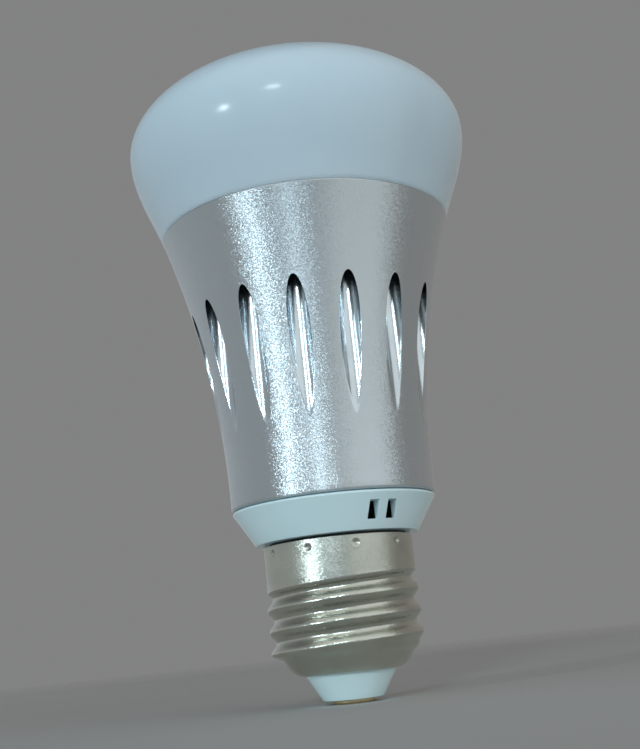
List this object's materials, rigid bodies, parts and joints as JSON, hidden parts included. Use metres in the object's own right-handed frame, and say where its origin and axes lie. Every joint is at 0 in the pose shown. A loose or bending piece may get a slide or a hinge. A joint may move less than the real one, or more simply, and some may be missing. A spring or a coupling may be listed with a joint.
{
  "type": "smart light bulb",
  "caption": "Smart LED bulb with a milky reflector-shaped diffuser, a flared metal heat sink with lens-shaped cooling slots, a white collar and an E27 screw cap.",
  "frame": {"origin": "on the bulb's axis, at the end face of the centre contact", "axes": "+Z along the bulb's axis from the contact towards the diffuser; +X where a thread crest stands at 18.05 mm; the collar's main window pair faces -Y and a little +X"},
  "size_m": [0.062, 0.062, 0.1149],
  "materials": {
    "diffuser": "frosted milky polycarbonate with a satin outside",
    "anodised": "bead-blasted and clear anodised, with bright machined channels",
    "white_housing": "smooth white moulding",
    "nickel": "rolled nickel-plated brass sheet",
    "white_insulator": "white thermoplastic",
    "contact_brass": "stamped brass, slightly dull",
    "tinned": "tinned rivet",
    "grey_silicone": "soft grey silicone",
    "board_mask": "white solder mask on aluminium",
    "phosphor": "yellow phosphor gel in a white package",
    "clear_gel": "clear gel in a white package",
    "screw_steel": "zinc-plated steel",
    "ivory_nylon": "ivory nylon",
    "wire_sleeves": "PVC insulation",
    "dark_mask": "glass-fibre board with dark solder mask",
    "shield_steel": "tinned steel sheet",
    "black_nylon": "black nylon",
    "green_mask": "glass-fibre board with green solder mask",
    "sleeved_can": "aluminium can in a dark shrink sleeve",
    "ferrite": "sintered ferrite",
    "black_phenolic": "black phenolic moulding",
    "yellow_tape": "yellow polyester tape over the winding",
    "enamelled_copper": "enamelled copper wire",
    "epoxy_box": "epoxy-filled box",
    "epoxy_black": "black moulded epoxy",
    "green_ceramic": "green cement coating",
    "chip_ceramic": "ceramic chips with tinned ends",
    "black_pvc": "PVC insulation"
  },
  "bodies": {
    "bulb_body": {"heat_sink": "anodised", "driver_housing": "white_housing", "driver_cover": "white_housing", "screw_shell": "nickel", "insulator": "white_insulator", "centre_contact": "contact_brass", "contact_nail": "tinned", "thermal_pad": "grey_silicone", "led_board": "board_mask", "white_leds": "phosphor", "colour_leds": "clear_gel", "board_screws": "screw_steel", "led_connector": "ivory_nylon", "led_wires": "wire_sleeves", "wifi_board": "dark_mask", "wifi_shield": "shield_steel", "pin_header": "black_nylon", "driver_board": "green_mask", "input_capacitor": "sleeved_can", "output_capacitor": "sleeved_can", "transformer_core": "ferrite", "transformer_bobbin": "black_phenolic", "transformer_winding": "yellow_tape", "choke_core": "ferrite", "choke_coil": "enamelled_copper", "film_capacitor": "epoxy_box", "bridge_rectifier": "epoxy_black", "fuse_resistor": "green_ceramic", "driver_chips": "epoxy_black", "smd_parts": "chip_ceramic", "live_wire": "wire_sleeves", "neutral_wire": "black_pvc"},
    "diffuser": {"diffuser": "diffuser"}
  },
  "joints": [
    {"name": "diffuser_lift", "type": "slide", "parent": "bulb_body", "child": "diffuser", "axis": [0, 0, 1], "range_m": [0, 0.03]}
  ]
}
